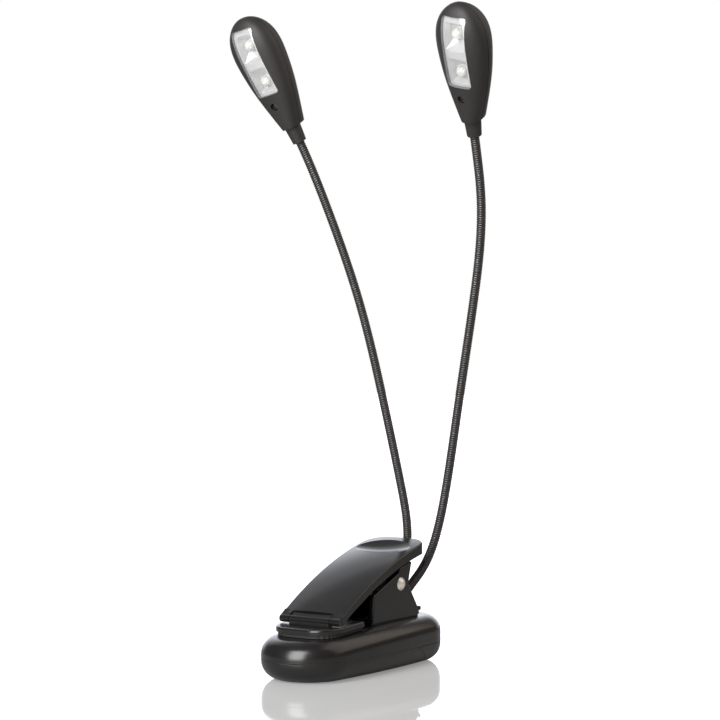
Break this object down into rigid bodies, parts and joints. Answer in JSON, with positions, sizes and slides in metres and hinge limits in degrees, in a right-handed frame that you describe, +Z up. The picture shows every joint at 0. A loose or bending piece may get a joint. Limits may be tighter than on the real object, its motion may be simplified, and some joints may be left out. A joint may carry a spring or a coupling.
{
  "type": "clip-on reading lamp",
  "caption": "Clip-on reading lamp: pebble base with sprung lever jaw, flexible ridged necks and teardrop lamp heads with small windows.",
  "frame": {"origin": "centre of the flat underside of the base", "axes": "+Z up; the jaw opens towards -Y; the necks leave towards +Y; +X is the side of the right neck"},
  "size_m": [0.138, 0.1138, 0.2948],
  "materials": {
    "black_shell": "satin black moulding",
    "pad_rubber": "matte rubber",
    "clear_window": "clear moulded window",
    "reflector_silver": "vacuum-metallised plastic",
    "led_resin": "clear to milky resin",
    "board": "laminate",
    "neck_steel": "blackened ridged gooseneck",
    "black_plastic": "matte",
    "cell_can": "plain wrapped can",
    "contact_metal": "plated strip",
    "bright_steel": "nickel-plated steel"
  },
  "bodies": {
    "base": {"base_upper_shell": "black_shell", "base_lower_shell": "black_shell", "base_screws": "bright_steel", "battery_cell_1": "cell_can", "battery_cell_2": "cell_can", "battery_cell_3": "cell_can", "battery_springs": "bright_steel", "battery_contacts": "contact_metal", "tower": "black_shell", "neck_bushings": "black_plastic", "pivot_pin": "bright_steel", "left_neck_1": "neck_steel", "right_neck_1": "neck_steel"},
    "battery_door": {"battery_door": "black_shell"},
    "lever": {"lever": "black_shell", "torsion_spring": "bright_steel", "jaw_hinge_pin": "bright_steel"},
    "jaw_foot": {"jaw_foot": "black_shell", "jaw_foot_pad": "pad_rubber"},
    "left_neck_2": {"left_neck_2": "neck_steel"},
    "left_neck_3": {"left_neck_3": "neck_steel"},
    "left_neck_4": {"left_neck_4": "neck_steel"},
    "left_neck_5": {"left_neck_5": "neck_steel"},
    "left_neck_6": {"left_neck_6": "neck_steel"},
    "left_head": {"left_neck_7": "neck_steel", "left_head_front_shell": "black_shell", "left_head_back_shell": "black_shell", "left_head_window": "clear_window", "left_head_reflector": "reflector_silver", "left_head_leds": "led_resin", "left_head_led_board": "board", "left_head_screw": "bright_steel", "left_head_switch": "board", "left_head_collar": "black_shell"},
    "left_button": {"left_head_button": "black_shell"},
    "right_neck_2": {"right_neck_2": "neck_steel"},
    "right_neck_3": {"right_neck_3": "neck_steel"},
    "right_neck_4": {"right_neck_4": "neck_steel"},
    "right_neck_5": {"right_neck_5": "neck_steel"},
    "right_neck_6": {"right_neck_6": "neck_steel"},
    "right_head": {"right_neck_7": "neck_steel", "right_head_front_shell": "black_shell", "right_head_back_shell": "black_shell", "right_head_window": "clear_window", "right_head_reflector": "reflector_silver", "right_head_leds": "led_resin", "right_head_led_board": "board", "right_head_screw": "bright_steel", "right_head_switch": "board", "right_head_collar": "black_shell"},
    "right_button": {"right_head_button": "black_shell"}
  },
  "joints": [
    {"name": "lever_pivot", "type": "hinge", "parent": "base", "child": "lever", "pos_m": [0, 0.0179, 0.0365], "axis": [-1, 0, 0], "range_deg": [0, 22], "stiffness_Nm_per_rad": 0.4, "springref_deg": -45.84},
    {"name": "foot_hinge", "type": "hinge", "parent": "lever", "child": "jaw_foot", "pos_m": [0, -0.0324, 0.02465], "axis": [-1, 0, 0], "range_deg": [-22, 0]},
    {"name": "battery_door_slide", "type": "slide", "parent": "base", "child": "battery_door", "axis": [0, 1, 0], "range_m": [0, 0.04]},
    {"name": "left_side_bend_1", "type": "hinge", "parent": "base", "child": "left_neck_2", "pos_m": [-0.00613, 0.04505, 0.03897], "axis": [0, 0.6085, -0.7936], "range_deg": [-25, 8]},
    {"name": "left_fore_bend_2", "type": "hinge", "parent": "left_neck_2", "child": "left_neck_3", "pos_m": [-0.0073, 0.05473, 0.05139], "axis": [0.9889, 0, 0.1484], "range_deg": [-25, 25]},
    {"name": "left_side_bend_3", "type": "hinge", "parent": "left_neck_3", "child": "left_neck_4", "pos_m": [-0.01397, 0.05713, 0.0844], "axis": [0, 0.9988, 0.0486], "range_deg": [-25, 8]},
    {"name": "left_fore_bend_4", "type": "hinge", "parent": "left_neck_4", "child": "left_neck_5", "pos_m": [-0.02221, 0.0546, 0.12346], "axis": [0.977, 0, 0.2131], "range_deg": [-25, 25]},
    {"name": "left_side_bend_5", "type": "hinge", "parent": "left_neck_5", "child": "left_neck_6", "pos_m": [-0.03307, 0.0496, 0.16992], "axis": [0, 0.984, 0.1781], "range_deg": [-25, 8]},
    {"name": "left_fore_bend_6", "type": "hinge", "parent": "left_neck_6", "child": "left_head", "pos_m": [-0.04339, 0.03717, 0.21397], "axis": [0.9815, 0, 0.1914], "range_deg": [-30, 30]},
    {"name": "left_button_press", "type": "slide", "parent": "left_head", "child": "left_button", "axis": [0.0146, -0.8843, -0.4666], "range_m": [0, 0.0008], "stiffness_N_per_m": 400, "springref_m": -0.001},
    {"name": "right_side_bend_1", "type": "hinge", "parent": "base", "child": "right_neck_2", "pos_m": [0.00613, 0.04505, 0.03897], "axis": [0, 0.6085, -0.7936], "range_deg": [-8, 25]},
    {"name": "right_fore_bend_2", "type": "hinge", "parent": "right_neck_2", "child": "right_neck_3", "pos_m": [0.0073, 0.05473, 0.05139], "axis": [0.9889, 0, -0.1485], "range_deg": [-25, 25]},
    {"name": "right_side_bend_3", "type": "hinge", "parent": "right_neck_3", "child": "right_neck_4", "pos_m": [0.01397, 0.05713, 0.0844], "axis": [0, 0.9988, 0.0487], "range_deg": [-8, 25]},
    {"name": "right_fore_bend_4", "type": "hinge", "parent": "right_neck_4", "child": "right_neck_5", "pos_m": [0.02218, 0.0546, 0.12347], "axis": [0.9779, 0, -0.2093], "range_deg": [-25, 25]},
    {"name": "right_side_bend_5", "type": "hinge", "parent": "right_neck_5", "child": "right_neck_6", "pos_m": [0.03315, 0.04959, 0.16989], "axis": [0, 0.9834, 0.1816], "range_deg": [-8, 25]},
    {"name": "right_fore_bend_6", "type": "hinge", "parent": "right_neck_6", "child": "right_head", "pos_m": [0.04319, 0.03722, 0.21401], "axis": [0.9906, 0, -0.1367], "range_deg": [-30, 30]},
    {"name": "right_button_press", "type": "slide", "parent": "right_head", "child": "right_button", "axis": [-0.1413, -0.846, -0.5142], "range_m": [0, 0.0008], "stiffness_N_per_m": 400, "springref_m": -0.001}
  ],
  "couplings": [
    {"joint": "foot_hinge", "follows": "lever_pivot", "ratio": -1}
  ]
}
